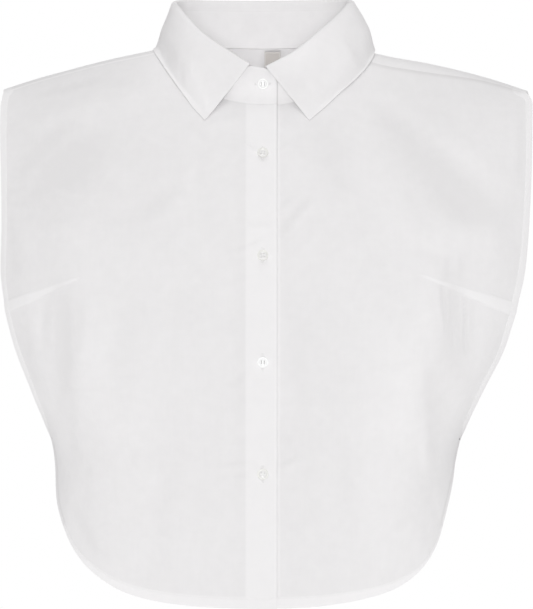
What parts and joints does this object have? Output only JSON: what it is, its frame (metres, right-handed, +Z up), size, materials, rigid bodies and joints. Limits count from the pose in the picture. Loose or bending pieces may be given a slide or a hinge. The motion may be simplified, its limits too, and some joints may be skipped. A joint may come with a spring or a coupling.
{
  "type": "detachable shirt collar",
  "caption": "Sleeveless shirt front and back with open sides and a pointed fold-over collar on a stand, buttoned at the front, worn under knitwear so that only the collar shows.",
  "frame": {"origin": "on the line of the shoulders, midway between the two points where the neck seam crosses them", "axes": "+Z up; the buttoned front faces -Y; the wearer's left is at +X"},
  "size_m": [0.4501, 0.2328, 0.5123],
  "materials": {
    "poplin": "matte, fine plain weave",
    "button_white": "satin",
    "label_tape": "woven tape"
  },
  "bodies": {
    "root": {"front_right": "poplin", "front_left": "poplin", "back": "poplin", "collar_stand": "poplin", "collar_leaf": "poplin", "button_1": "button_white", "button_2": "button_white", "button_3": "button_white", "button_4": "button_white", "button_5": "button_white", "neck_label": "label_tape"}
  },
  "joints": []
}
